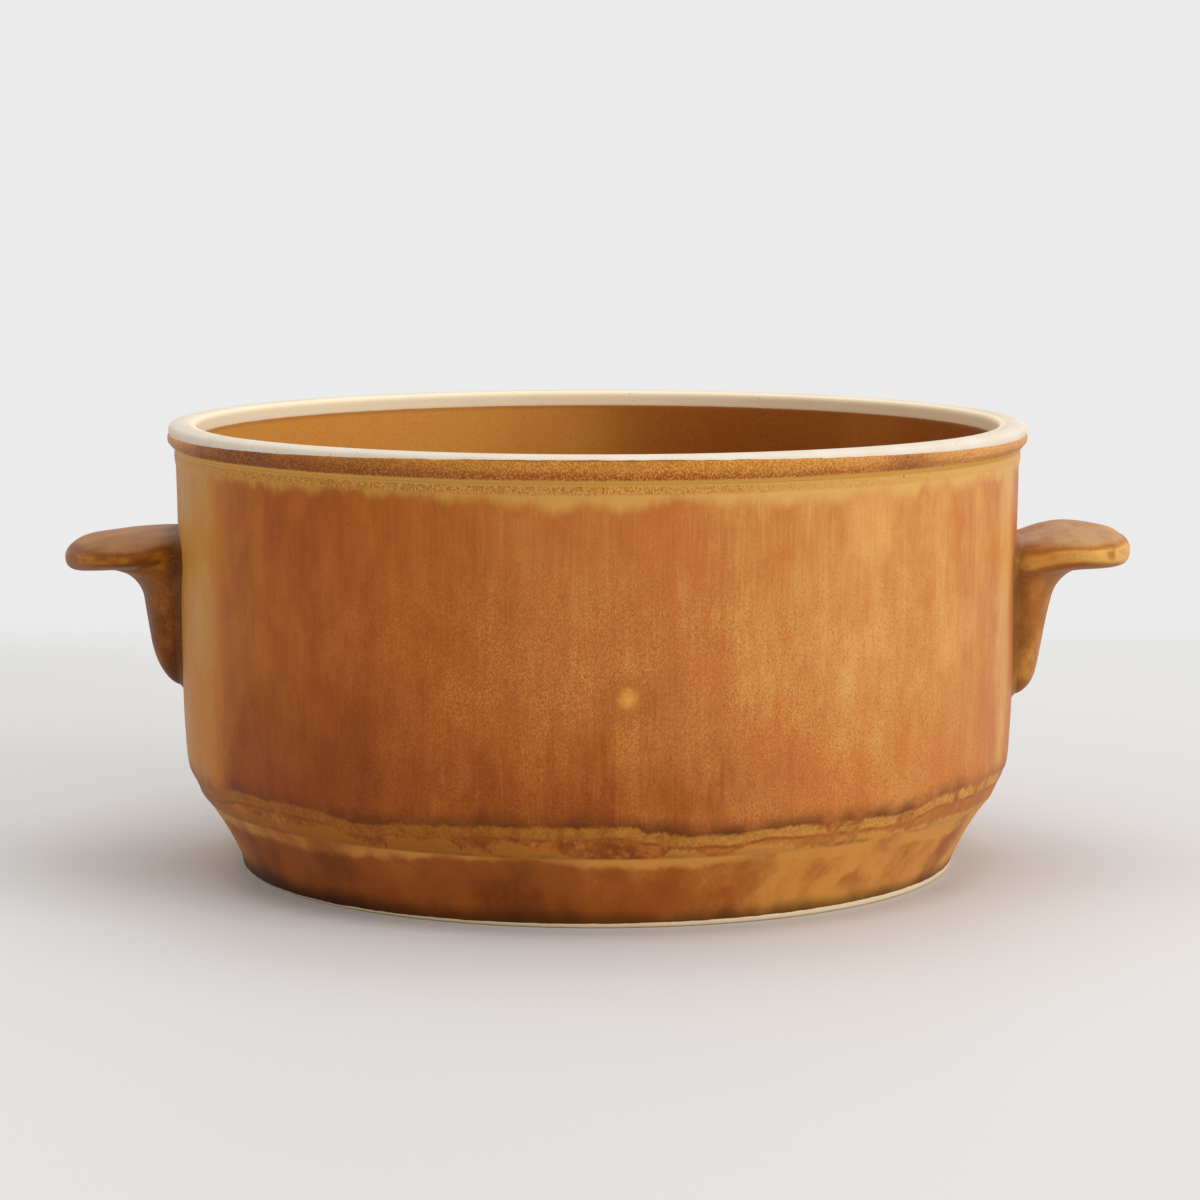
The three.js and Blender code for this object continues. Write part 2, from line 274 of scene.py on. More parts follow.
def wheel_tree():
    """Turns a profile about Z into a closed form, with the slight wobble of hand throwing."""
    tree = bpy.data.node_groups.new("wheel_thrown_form", "GeometryNodeTree")
    given, end = add_sockets(tree, [
        ("Profile", "NodeSocketGeometry", None),
        ("Segments", "NodeSocketInt", 64),
        ("Wobble", "NodeSocketFloat", 0.0),
        ("Glaze Relief", "NodeSocketFloat", 0.0),
        ("Edge Waver", "NodeSocketFloat", 0.0),
        ("Rim Drop", "NodeSocketFloat", 0.0),
        ("Foot Tilt", "NodeSocketFloat", 0.0),
        ("Surface", "NodeSocketMaterial", None),
    ], [("Form", "NodeSocketGeometry")])
    rows = place_node(tree, "GeometryNodeAttributeDomainSize", (given["Profile"],), component="MESH")
    grid = place_node(tree, "GeometryNodeMeshGrid", (1.0, 1.0, given["Segments"] + 1, rows))
    index = place_node(tree, "GeometryNodeInputIndex")
    column = ((index + 0.5) / rows).math("FLOOR")
    row = index - column * rows
    position = place_node(tree, "GeometryNodeInputPosition")
    point = place_node(tree, "GeometryNodeSampleIndex", (given["Profile"], position, row),
                       data_type="FLOAT_VECTOR", domain="POINT")
    radius, _, height = parts_of(point)
    angle = column / given["Segments"] * (2 * math.pi)
    across, along = angle.math("COSINE"), angle.math("SINE")

    east, north = across * PATTERN_RADIUS, along * PATTERN_RADIUS
    around = place_node(tree, "ShaderNodeCombineXYZ", (east, north, 0.0))
    z = height / MM
    turn = place_node(tree, "ShaderNodeCombineXYZ", (across, along, z * 0.012))
    wobble = (grain(turn, 0.8, 5.0, 0.0) - 0.5) * given["Wobble"]
    waver = (grain(around, 0.5, 21.0, 3.0, 0.6) - 0.5) * given["Edge Waver"]
    upper = waver - across * across * given["Rim Drop"]
    lower = waver + across * given["Foot Tilt"]
    lift = upper * ramp(z, 66.8, 70.0) + lower * ramp(z, 2.4, 1.0)

    edge = pool_edge(around)
    roll = ramp(z, edge - 0.2, edge + 0.5) * ramp(z, 22.0, edge + 0.6)
    stand = z + (grain(around, 0.25, 22.0) - 0.5) * 1.2
    top = island_top(around)
    island = ramp(stand, 11.4, 12.3) * ramp(z, top + 0.2, top - 0.2)
    surface = place_node(tree, "ShaderNodeCombineXYZ", (east, north, z * 0.045))
    runs = (grain(surface, 0.33, 31.0, 2.0) - 0.5) * ramp(z, 15.0, 24.0) * ramp(z, 65.0, 60.0)
    relief = (roll * 0.2 + island * 0.14 + runs * 0.16) * given["Glaze Relief"] * MM

    reach = radius * (wobble + 1.0) + relief
    place = place_node(tree, "ShaderNodeCombineXYZ", (reach * across, reach * along, height + lift * MM))
    moved = place_node(tree, "GeometryNodeSetPosition", (grid, True, place))
    whole = place_node(tree, "GeometryNodeMergeByDistance", (moved, True, WELD * MM))
    smooth = place_node(tree, "GeometryNodeSetShadeSmooth", (whole, True, True))
    solid = place_node(tree, "GeometryNodeRealizeInstances", (smooth,))
    finished = place_node(tree, "GeometryNodeSetMaterial", (solid, True, given["Surface"]))
    tree.links.new(finished.socket, end.inputs["Form"])
    return tree


WHEEL = wheel_tree()


def placed(name, data):
    """Puts a new object into the scene."""
    thing = bpy.data.objects.new(name, data)
    bpy.context.scene.collection.objects.link(thing)
    return thing


def settle(piece):
    """Gives a piece the plain mesh that its modifiers make, and takes them off."""
    seen = piece.evaluated_get(bpy.context.evaluated_depsgraph_get())
    mesh = bpy.data.meshes.new_from_object(seen)
    piece.modifiers.clear()
    piece.data = mesh
    mesh.name = piece.name
    return mesh


def face_outwards(mesh):
    """Turns every face of a closed mesh outwards."""
    work = bmesh.new()
    work.from_mesh(mesh)
    bmesh.ops.recalc_face_normals(work, faces=work.faces)
    work.to_mesh(mesh)
    work.free()


def thrown(name, path, surface, **sizes):
    """Makes a piece on the wheel from its profile and gives its plain mesh object."""
    outline = bpy.data.meshes.new(name)
    links = [(i, i + 1) for i in range(len(path) - 1)]
    outline.from_pydata([(r * MM, 0, z * MM) for r, z in path], links, [])
    piece = placed(name, outline)
    wheel = piece.modifiers.new("wheel", "NODES")
    wheel.node_group = WHEEL
    values = {key.replace("_", " ").title(): value for key, value in sizes.items()}
    values["Surface"] = surface
    for item in WHEEL.interface.items_tree:
        if item.in_out == "INPUT" and item.name in values:
            wheel[item.identifier] = values[item.name]
    face_outwards(settle(piece))
    return piece


def tone(red, green, blue):
    """A colour written as it looks, 0 to 255, turned into the linear one that nodes use."""
    def linear(value):
        value /= 255
        return value / 12.92 if value < 0.04045 else ((value + 0.055) / 1.055) ** 2.4
    return linear(red), linear(green), linear(blue), 1.0


def tint(share, under, over):
    """Lays one colour over another by a share between 0 and 1."""
    return place_node(share.tree, "ShaderNodeMix", (share, under, over), data_type="RGBA",
                      clamp_factor=True)


def start_finish(name, roughness, specular):
    """A material with one shader, and the place on the piece in millimetres."""
    finish = bpy.data.materials.new(name)
    finish.use_nodes = True
    shader = finish.node_tree.nodes["Principled BSDF"]
    shader.inputs["Roughness"].default_value = roughness
    shader.inputs["Specular IOR Level"].default_value = specular
    coordinates = place_node(finish.node_tree, "ShaderNodeTexCoord", output=3)
    return finish, shader, stretched(coordinates, 1000, 1000, 1000)


def lay_on(shader, colour, roughness, height, depth):
    """Joins colour, roughness and a fine relief of that depth in millimetres to a shader."""
    tree = colour.tree
    relief = place_node(tree, "ShaderNodeBump", (1.0, depth * MM, 0.1, height))
    tree.links.new(colour.socket, shader.inputs["Base Color"])
    tree.links.new(roughness.socket, shader.inputs["Roughness"])
    tree.links.new(relief.socket, shader.inputs["Normal"])


def bare_clay():
    finish, shader, place = start_finish("bare_stoneware", 0.75, 0.3)
    x, y, z = parts_of(place)
    cloud = grain(place, 0.12, 1.0, 3.0)
    sand = grain(place, 2.6, 2.0, 2.0, 0.7)
    iron = ramp(grain(place, 2.2, 4.0, 0.0), 0.82, 0.86)
    colour = tint(ramp(cloud, 0.3, 0.7), tone(224, 215, 201), tone(217, 205, 187))
    colour = tint(ramp(sand, 0.62, 0.8) * 0.3, colour, tone(200, 182, 152))
    radius = (x * x + y * y).math("SQRT")
    # A warm pale flash on the bare band inside the rim, made paler as painted light so that the band
    # does not fall grey in its shade.
    colour = tint(ramp(radius, 65.0, 64.2) * ramp(z, 66.0, 67.0) * 0.8, colour, tone(246, 230, 196))
    colour = tint(ramp(z, 2.0, 0.2) * 0.8, colour, tone(226, 200, 154))
    colour = tint(iron * 0.7, colour, tone(120, 82, 52))
    lay_on(shader, colour, ramp(sand, 0.2, 0.8, 0.7, 0.82), sand, 0.06)
    return finish


clay_bowl = thrown("clay_bowl", clay_path(), bare_clay(), segments=CLAY_SEGMENTS, wobble=CLAY_WOBBLE)
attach(clay_bowl, "root")
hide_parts("bowl_body")


# Outer glaze: an amber ash glaze, poured over the wall and fired to a satin face.
# It breaks to ochre where it runs thin at the top, and pools dark and jagged on the turned shoulder.
# The coat is a thin closed shell that sits in the clay, with a soft lip at the rim and at the foot.

OUTER_SEGMENTS = 600
GLAZE_SUNK = 0.55


def outer_glaze_path():
    face = outside_path(0)
    path = [(FOOT_RADIUS - 0.2, BARE_FOOT_TOP - 0.05)] + face[1:]
    bend(path, (RIM_RADIUS, 69.95), (67.65, 70.12), 6)
    run(path, (RIM_RADIUS - GLAZE_SUNK, 69.8), 1)
    back = outside_path(GLAZE_SUNK)
    path += [p for p in reversed(back[3::5]) if p[1] < 69.5]
    path.append((FOOT_RADIUS - GLAZE_SUNK, BARE_FOOT_TOP + 0.2))
    path.append(path[0])
    return path


def glaze_runs_group():
    """Streaks that follow the glaze as it ran down: hair fine, finger wide and hand wide."""
    tree = bpy.data.node_groups.new("glaze_runs", "ShaderNodeTree")
    given, end = add_sockets(tree, [
        ("Place", "NodeSocketVector", None),
        ("Seed", "NodeSocketFloat", 0.0),
    ], [("Hair", "NodeSocketFloat"), ("Finger", "NodeSocketFloat"), ("Hand", "NodeSocketFloat")])
    place, seed = given["Place"], given["Seed"]
    hair = grain(stretched(place, 1, 1, 0.05), 2.4, seed + 41, 2.0, 0.6)
    finger = grain(stretched(place, 1, 1, 0.06), 0.28, seed + 42, 2.0)
    hand = grain(stretched(place, 1, 1, 0.25), 0.06, seed + 43, 2.0)
    for name, value in (("Hair", hair), ("Finger", finger), ("Hand", hand)):
        tree.links.new(value.socket, end.inputs[name])
    return tree


def glaze_skin_group():
    """The satin skin: gold and dark specks where crystals grew, and a faint orange peel."""
    tree = bpy.data.node_groups.new("glaze_skin", "ShaderNodeTree")
    given, end = add_sockets(tree, [
        ("Place", "NodeSocketVector", None),
        ("Speck Size", "NodeSocketFloat", 0.45),
        ("Seed", "NodeSocketFloat", 0.0),
    ], [("Gold", "NodeSocketFloat"), ("Dark", "NodeSocketFloat"), ("Height", "NodeSocketFloat"),
        ("Roughness", "NodeSocketFloat")])
    place, seed = given["Place"], given["Seed"]
    pitch = place_node(tree, "ShaderNodeMath", (1.0, given["Speck Size"]), operation="DIVIDE")
    cells = place_node(tree, "ShaderNodeTexVoronoi", (place, seed + 51, pitch), voronoi_dimensions="4D")
    shade = grain(place, pitch, seed + 52, 2.0, 0.6)
    peel = grain(place, 0.8, seed + 53, 2.0)
    dull = grain(place, 0.1, seed + 54, 3.0)
    for name, value in (
        ("Gold", ramp(cells, 0.62, 0.40)),
        ("Dark", ramp(shade, 0.45, 0.68)),
        ("Height", peel - cells * 0.3),
        ("Roughness", ramp(dull, 0.3, 0.7, 0.40, 0.50)),
    ):
        tree.links.new(value.socket, end.inputs[name])
    return tree


GLAZE_RUNS = glaze_runs_group()
GLAZE_SKIN = glaze_skin_group()


def effect(tree, group, *values):
    """Places a shared group and gives its outputs by name."""
    node = tree.nodes.new("ShaderNodeGroup")
    node.node_tree = group
    feed(tree, node.inputs, values)
    return {socket.name: Field(tree, socket) for socket in node.outputs}


def outer_glaze():
    finish, shader, place = start_finish("outer_amber_glaze", 0.45, 0.1)
    tree = finish.node_tree
    z = parts_of(place)[2]
    turn = turn_of(place)
    around = on_rim_circle(place)
    runs = effect(tree, GLAZE_RUNS, place, 0.0)
    skin = effect(tree, GLAZE_SKIN, stretched(place, 1, 1, 0.8), 0.26, 0.0)
    hair, finger, hand = (runs[name] - 0.5 for name in ("Hair", "Finger", "Hand"))
    mottle = grain(stretched(place, 1, 1, 0.6), 0.2, 62.0, 4.0, 0.62) - 0.5

    away = by_turn(turn, (-180, 0), (-150, 0), (-95, 1), (-75, 1), (-30, 0), (180, 0))
    # Painted light and painted sheen: this share grows toward the right, where the side lamp falls, and
    # every colour it mixes is lighter and paler there.
    lit_side = by_turn(turn, (-180, 0.4), (-120, 0), (-45, 0), (40, 1), (100, 1), (180, 0.4))
    red_brown = tone(134, 62, 18)
    amber = tint(away, tint(lit_side, tone(181, 101, 38), tone(190, 113, 54)), tone(188, 114, 28))
    ochre = tint(away, tone(196, 144, 50), tone(190, 142, 66))
    ochre = tint(lit_side, ochre, tone(215, 160, 92))
    dark_brown = tone(116, 60, 18)

    # Wall: red brown to ochre, by the angle round the bowl and by the runs. Left of the front the red
    # brown is partly the glaze's own colour and partly painted shade, on the side turned from the side
    # lamp
    side = by_turn(turn, (-180, 0.35), (-120, 0.5), (-84, 0.8), (-66, 0.82), (-56, 0.14), (-34, 0.14),
                   (-18, 0.34), (-4, 0.47), (6, 0.56), (18, 0.64), (30, 0.71), (56, 0.8), (66, 0.7),
                   (72, 0.93), (78, 0.4), (86, 0.55), (130, 0.45), (180, 0.35))
    streaky = by_turn(turn, (-180, 0.5), (-60, 0.45), (-34, 0.5), (-10, 0.9), (14, 0.9), (40, 0.5),
                      (180, 0.5))
    low = by_turn(turn, (-180, 0.5), (-90, 0.1), (-66, 0.1), (-56, 0.24), (-20, 0.28), (0, 0.5),
                  (12, 0.48), (30, 0.26), (70, 0.15), (180, 0.5))
    level = ramp(z, 42.0, 19.0, 0.03, -1.0) * low
    high = ramp(z, 36.0, 56.0, 0.75, 1.0)
    wisp = grain(stretched(place, 1, 1, 0.1), 0.9, 65.0, 3.0, 0.6) - 0.5
    streaks = (finger * 0.5 + hair * 0.6 + wisp * 0.4) * streaky * high
    share = side + level + hand * 0.6 + mottle * 0.75 + streaks
    wall = tint(ramp(share, -0.32, 0.54), red_brown, amber)
    wall = tint(ramp(share, 0.45, 1.05), wall, ochre)
    grainy = by_turn(turn, (-180, 0.4), (-75, 0.15), (-45, 0.4), (-12, 0.9), (40, 0.8), (75, 0.25),
                     (180, 0.4))
    grainy = grainy * ramp(z, 60.0, 42.0, 0.3, 1.0) * ramp(mottle, -0.3, 0.2, 0.5, 1.0)
    wall = tint(skin["Dark"] * grainy * 0.55, wall, dark_brown)
    gold = tint(ramp(share, 0.0, 0.6), tone(182, 108, 44), tone(226, 164, 82))
    wall = tint(skin["Gold"] * grainy * 0.42, wall, gold)

    # Curtain under the rim: thin ochre glaze with a feathered lower edge
    sweep = by_turn(turn, (-180, 0.5), (-62, 0.8), (-22, 0.85), (-8, 0.2), (3, 0.2), (9, 0.7),
                    (20, 0.4), (60, 0.6), (180, 0.5))
    curtain = 63.1 + sweep * 1.8 + hair * 1.6 + finger * 5.0 + hand * 1.6
    thin = tint(lit_side, tone(194, 140, 55), tone(215, 165, 92))
    colour = tint(ramp(z, curtain - 1.4, curtain + 1.1), wall, thin)

    # Band, groove and bead
    speckled = by_turn(turn, (-180, 0.5), (-70, 0.5), (-40, 0.9), (5, 1.0), (28, 0.45), (60, 0.2),
                       (180, 0.5))
    band = ramp(z + finger * 0.6, 64.7, 65.3) * ramp(z, 66.4, 66.1) * speckled
    colour = tint(band * 0.7, colour, tone(180, 120, 50))
    colour = tint(band * skin["Dark"] * 0.8, colour, tone(136, 76, 28))
    colour = tint(band * skin["Gold"] * 0.6, colour, tone(226, 170, 90))
    groove = ramp(z, 66.1, 66.3) * ramp(z, 67.2, 66.9)
    colour = tint(groove, colour, tone(200, 150, 70))
    colour = tint(ramp(z, 66.35, 66.45) * ramp(z, 66.6, 66.5) * 0.45, colour, tone(158, 114, 46))
    smoke = by_turn(turn, (-180, 0.3), (-76, 0.3), (-54, 0.75), (-40, 0.66), (-26, 0.5), (-12, 0.36),
                    (24, 0.15), (34, 0.2), (40, 0.55), (46, 0.5), (54, 0.15), (70, 0.2), (180, 0.3))
    bead = ramp(z + hair * 0.5, 66.95, 67.2)
    below = ramp(z + mottle * 2.0 - smoke * 0.8, 68.7, 67.2)
    # Painted light: the bead is lighter and paler toward the right, where the side lamp falls.
    right = by_turn(turn, (-180, 0.4), (-120, 0), (15, 0), (60, 1), (100, 1), (180, 0.4))
    bead_colour = tint(right, tone(190, 125, 48), tone(206, 147, 86))
    bead_low = tint(right, tone(160, 86, 32), tone(186, 122, 64))
    bead_colour = tint(below, bead_colour, bead_low)
    smoked = ramp(smoke + mottle * 0.9, 0.3, 0.8) * ramp(z, 70.1, 69.2)
    bead_colour = tint(smoked, bead_colour, tone(122, 62, 30))
    bead_colour = tint(skin["Dark"] * 0.55, bead_colour, tone(132, 70, 28))
    bead_colour = tint(skin["Gold"] * ramp(smoke, 0.2, 0.7, 0.55, 0.2), bead_colour, tone(230, 168, 84))
    colour = tint(bead, colour, bead_colour)
    colour = tint(ramp(z, 69.7, 69.95) * ramp(finger, -0.2, 0.1, 0.3, 0.8), colour, tone(124, 72, 26))

    # Shoulder: dark pool with a jagged lower edge, then ochre and brown lines on the turned rings
    edge = pool_edge(around)
    pool = ramp(z + mottle * 2.0, edge + 3.0, edge)
    stain = by_turn(turn, (-180, 0.6), (-72, 0.6), (-50, 0.6), (-34, 0.75), (-16, 0.9), (6, 1.0),
                    (44, 0.95), (60, 0.6), (180, 0.6))
    stain = stain * ramp(grain(around, 0.17, 64.0, 2.0), 0.3, 0.65, 0.3, 0.95)
    colour = tint(pool * stain, colour, tone(98, 51, 18))
    ring = ramp(z + skin["Dark"] * 0.3, edge + 0.4, edge - 0.25)
    thick = tint(lit_side * lit_side, tone(162, 99, 30), tone(202, 142, 66))
    flecks = grain(stretched(place, 1, 1, 0.7), 1.3, 68.0, 3.0, 0.65) - 0.5
    ring_colour = tint(ramp(finger + mottle * 1.5, -0.3, 0.1), tone(152, 86, 28), thick)
    ring_colour = tint(skin["Dark"] * 0.45, ring_colour, tone(134, 72, 24))
    ring_colour = tint(ramp(flecks, 0.0, -0.16) * (lit_side * -0.25 + 0.45), ring_colour, tone(118, 60, 22))
    bright = tint(lit_side * lit_side, tone(178, 111, 40), tone(216, 154, 74))
    ring_colour = tint(ramp(flecks, 0.0, 0.16) * 0.5, ring_colour, bright)
    line = pool_line(around) - 1.7 + (grain(around, 0.35, 67.0, 2.0) - 0.5) * 1.2 + mottle * 0.8
    brown = tint(ramp(mottle * 1.5 + finger, -0.2, 0.2), tone(140, 72, 24), tone(180, 106, 43))
    brown = tint(ramp(flecks, 0.0, -0.16) * 0.5, brown, tone(110, 54, 21))
    brown = tint(ramp(flecks, 0.04, 0.16) * 0.5, brown, tone(192, 124, 48))
    brown = tint(ramp(lit_side, 0.7, 1.0) * 0.45, brown, tone(198, 128, 60))
    ring_colour = tint(ramp(z, line + 0.3, line - 0.25), ring_colour, brown)
    seam = ramp(z, line + 0.25, line) * ramp(z, line - 0.6, line - 0.2)
    seam = seam * ramp(mottle + finger, -0.1, 0.15, 0.0, 0.6)
    ring_colour = tint(seam, ring_colour, tone(122, 62, 22))
    top = island_top(around)
    isle = ramp(z, top + 0.3, top - 0.3)
    isle_colour = tint(ramp(mottle * 1.5, -0.4, 0.0), tone(150, 88, 28), thick)
    isle_colour = tint(skin["Dark"] * 0.25, isle_colour, tone(140, 76, 26))
    ring_colour = tint(isle, ring_colour, isle_colour)
    brim = ramp(z + mottle * 0.8, 12.4, RING_FOOT[1])
    brim = brim * ramp(finger * 1.5 + hand + lit_side * -0.15, -0.1, 0.2, 0.0, 0.55)
    ring_colour = tint(brim, ring_colour, tone(140, 74, 28))

    # Foot band: brown, with soft upright ochre patches and a dark hem
    patch = grain(stretched(place, 1, 1, 0.4), 0.09, 61.0, 3.0) - 0.5
    flank = by_turn(turn, (-180, 0.5), (-90, 0.95), (-74, 0.75), (-58, 0.24), (-38, 0.17), (-24, 0.3),
                    (-10, 0.28), (-4, 0.42), (3, 0.5), (10, 0.46), (22, 0.68), (34, 0.85), (44, 0.8),
                    (62, 0.75), (76, 1.3), (100, 1.0), (180, 0.5))
    hem = by_turn(turn, (-180, 0.5), (-90, 0.3), (-56, 0.2), (-38, 0.25), (-22, 0.7), (-10, 0.85),
                  (2, 0.5), (12, 0.45), (20, 0.7), (36, 0.45), (50, 0.4), (60, 0.2), (180, 0.5))
    hem = hem * 3.0 + 8.8
    foot_share = flank + patch * 1.3 + mottle * 0.6 + hair * 0.2
    foot_share = foot_share + ramp(z + mottle * 1.5, hem - 1.0, hem + 0.7, 0.0, 0.42)
    foot = tint(ramp(foot_share, 0.0, 0.5), tone(117, 59, 15), tone(158, 84, 29))
    foot = tint(ramp(foot_share, 0.45, 1.0), foot, tone(206, 142, 64))
    smudge = grain(stretched(place, 1, 1, 0.8), 0.14, 66.0, 3.0)
    foot = tint(ramp(smudge, 0.55, 0.78) * 0.3, foot, tone(96, 50, 20))
    wave = ramp(smudge + mottle * 0.5, 0.5, 0.64) * ramp(z, 3.0, 5.5) * lit_side
    foot = tint(wave * 0.6, foot, tone(158, 88, 33))
    dark_hem = by_turn(turn, (-180, 0.6), (-90, 0.8), (-50, 1.0), (-14, 0.6), (4, 0.45), (32, 0.75),
                       (70, 0.6), (180, 0.6))
    # The glaze darkens toward the bottom edge of the foot band, most at the front left.
    hem_darkening = ramp(z + patch * 2.5, dark_hem * 2.4 + 2.1, 0.9) * (dark_hem * 0.6 + 0.4)
    foot = tint(hem_darkening, foot, tone(64, 33, 9))
    ring_colour = tint(ramp(z, RING_FOOT[1], RING_FOOT[1] - 0.5), ring_colour, foot)
    colour = tint(ring, colour, ring_colour)

    # A burst bubble, left pale, below the middle of the front, and a few pinholes
    spot = place_node(tree, "ShaderNodeVectorMath", (place, (4.5, -65.9, 35.4)), operation="DISTANCE")
    spot = spot + mottle * 4.0 + (skin["Gold"] - skin["Dark"]) * 0.5
    colour = tint(ramp(spot, 5.5, 2.0) * 0.2, colour, tone(138, 70, 26))
    colour = tint(ramp(spot, 1.9, 0.9) * 0.75, colour, tone(208, 146, 62))
    colour = tint(ramp(spot, 0.9, 0.3) * 0.4, colour, tone(228, 174, 90))
    pinhole = ramp(grain(place, 1.7, 63.0, 0.0), 0.87, 0.9)
    colour = tint(pinhole * 0.7, colour, tone(84, 48, 20))

    height = skin["Height"] + runs["Hair"] * 0.6 - pinhole * 2.0
    lay_on(shader, colour, skin["Roughness"], height, 0.05)
    return finish


outer_coat = thrown("outer_glaze_coat", outer_glaze_path(), outer_glaze(), segments=OUTER_SEGMENTS,
                    wobble=CLAY_WOBBLE, glaze_relief=1.0, edge_waver=0.3, rim_drop=1.2, foot_tilt=0.35)
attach(outer_coat, "root")


# Inner glaze: the same glaze poured into the bowl and swilled round, smooth and a little browner.
# It stops at the bare band below the rim and runs over the floor, with faint throwing rings under it.

INNER_SEGMENTS = 384


def inner_glaze_path():
    path = [(0, FLOOR_HEIGHT)]
    run(path, (FLOOR_EDGE, FLOOR_HEIGHT), 44)
    path = tooled(path, 0, 0.07, 4.6)
    bend(path, (INSIDE_FOOT[0], FLOOR_HEIGHT), INSIDE_FOOT, 20)
    run(path, (BARE_RIM_INSIDE[0], BARE_RIM_INSIDE[1] - 0.5), 46)
    bend(path, BARE_RIM_INSIDE, (BARE_RIM_INSIDE[0] + 0.3, BARE_RIM_INSIDE[1]), 5)
    run(path, (BARE_RIM_INSIDE[0] + GLAZE_SUNK, BARE_RIM_INSIDE[1] - 0.3), 1)
    foot = (INSIDE_FOOT[0] + GLAZE_SUNK, INSIDE_FOOT[1])
    run(path, foot, 8)
    bend(path, (foot[0], FLOOR_HEIGHT - GLAZE_SUNK), (FLOOR_EDGE, FLOOR_HEIGHT - GLAZE_SUNK), 10)
    run(path, (0, FLOOR_HEIGHT - GLAZE_SUNK), 10)
    return path


def inner_glaze():
    finish, shader, place = start_finish("inner_amber_glaze", 0.42, 0.1)
    tree = finish.node_tree
    x, _, z = parts_of(place)
    runs = effect(tree, GLAZE_RUNS, place, 3.0)
    skin = effect(tree, GLAZE_SKIN, place, 0.36, 3.0)
    cloud = grain(stretched(place, 1, 1, 0.5), 0.03, 77.0, 1.0)
    share = cloud * 0.7 + runs["Finger"] * 0.08 + ramp(z, 30.0, 66.0, -0.1, 0.2)
    # Painted light and painted shade: the inside is lighter to the left, where the side lamp falls on
    # the wall that faces it, and darker to the right, which stands in its own shade.
    share = share + ramp(x, 34.0, -54.0, -0.3, 0.5)
    colour = tint(ramp(share, 0.3, 0.9), tone(146, 81, 22), tone(204, 142, 62))
    colour = tint(skin["Dark"] * 0.2, colour, tone(128, 72, 24))
    colour = tint(skin["Gold"] * 0.07, colour, tone(206, 148, 66))
    colour = tint(ramp(z, 67.2, 68.1) * 0.6, colour, tone(150, 92, 40))
    lay_on(shader, colour, skin["Roughness"], skin["Height"], 0.04)
    return finish


inner_coat = thrown("inner_glaze_coat", inner_glaze_path(), inner_glaze(), segments=INNER_SEGMENTS,
                    wobble=CLAY_WOBBLE, edge_waver=0.5)
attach(inner_coat, "root")


# Lug handles: two thumb tabs with a tapering leg, each formed by hand from the same clay and luted on.
# The glaze breaks to ochre along their edges; the corner at the wall is darkened, partly pooled glaze
# and partly painted shade.
# The right one came out thicker at the wall, with a dip there, and the left one droops.

TAB_TOP = 53.0
TAB_REACH = 18.2
TAB_ROOT_WIDTH = 28.0
TAB_WIDTH = 37.0
LEG_TOP_WIDTH = 25.7
LEG_END_WIDTH = 13.0
UNDER_TAB_FILLET = 5.0
ROOT_DEPTH = 2.2
LUG_WALL_RADIUS = 66.2
TAB_STEPS = 40
TAB_POINTS = 72
LEG_STEPS = 48
LEG_POINTS = 48
LUG_VOXEL = 0.42
LUG_LUMPS = 0.22
LUGS = {
    "right": dict(side=1, thick=5.2, root=1.5, crest=0.58, droop=0.3, dip=1.1, crown=0.7,
                  leg_end=26.4, leg=7.0, leg_tip=3.3, leg_round=4.5, bulge=3.0, seed=7.0),
    "left": dict(side=-1, thick=5.3, root=0.1, crest=0.45, droop=1.4, dip=-0.35, crown=0.1,
                 leg_end=27.8, leg=6.8, leg_tip=4.2, leg_round=8.0, bulge=2.3, seed=19.0),
}


def power_round(angle, power):
    """A point on a rounded rectangle of half size 1."""
    c, s = math.cos(angle), math.sin(angle)
    return (math.copysign(abs(c) ** (2 / power), c), math.copysign(abs(s) ** (2 / power), s))


def ease(value):
    value = min(1, max(0, value))
    return value * value * (3 - 2 * value)


def skinned(work, rings, endless=False):
    """Adds a closed skin through rings of equal length: round to the first, or with both ends filled."""
    loops = [[work.verts.new(p) for p in ring] for ring in rings]
    count = len(loops[0])
    for here, after in zip(loops, loops[1:] + loops[:1] if endless else loops[1:]):
        for k in range(count):
            face = work.faces.new((here[k], here[(k + 1) % count], after[(k + 1) % count], after[k]))
            face.smooth = True
    if not endless:
        work.faces.new(reversed(loops[0]))
        work.faces.new(loops[-1])


def tab_rings(lug):
    rings = []
    wall = wall_radius(TAB_TOP)
    crest = TAB_REACH * lug["crest"]
    outs = [-ROOT_DEPTH] + [TAB_REACH * (1 - (1 - k / TAB_STEPS) ** 1.8) for k in range(TAB_STEPS + 1)]
    for out in outs:
        share = max(0, out) / TAB_REACH
        close = max(0, (out - crest) / (TAB_REACH - crest))
        width = TAB_ROOT_WIDTH + (TAB_WIDTH - TAB_ROOT_WIDTH) * ease(out / crest)
        half_width = max(0.02, width / 2 * math.sqrt(max(0, 1 - close ** 2)))
        thick = lug["thick"] + lug["root"] * (1 - share)
        half_thick = max(0.02, thick / 2 * math.sqrt(max(0, 1 - close ** 6)))
        sag = lug["droop"] * share ** 2 + lug["dip"] * (1 - ease(out / crest))
        rise = lug["crown"] * math.sin(math.pi * min(1, share))
        middle = TAB_TOP - thick / 2 - sag + rise
        ring = []
        for k in range(TAB_POINTS):
            y, z = power_round(2 * math.pi * k / TAB_POINTS, lug["bulge"])
            y, z = y * half_width, z * half_thick
            curve = (1 - share) * (math.sqrt(wall ** 2 - y * y) - wall)
            ring.append((wall + out + curve, y, middle + z))
        rings.append(ring)
    return rings


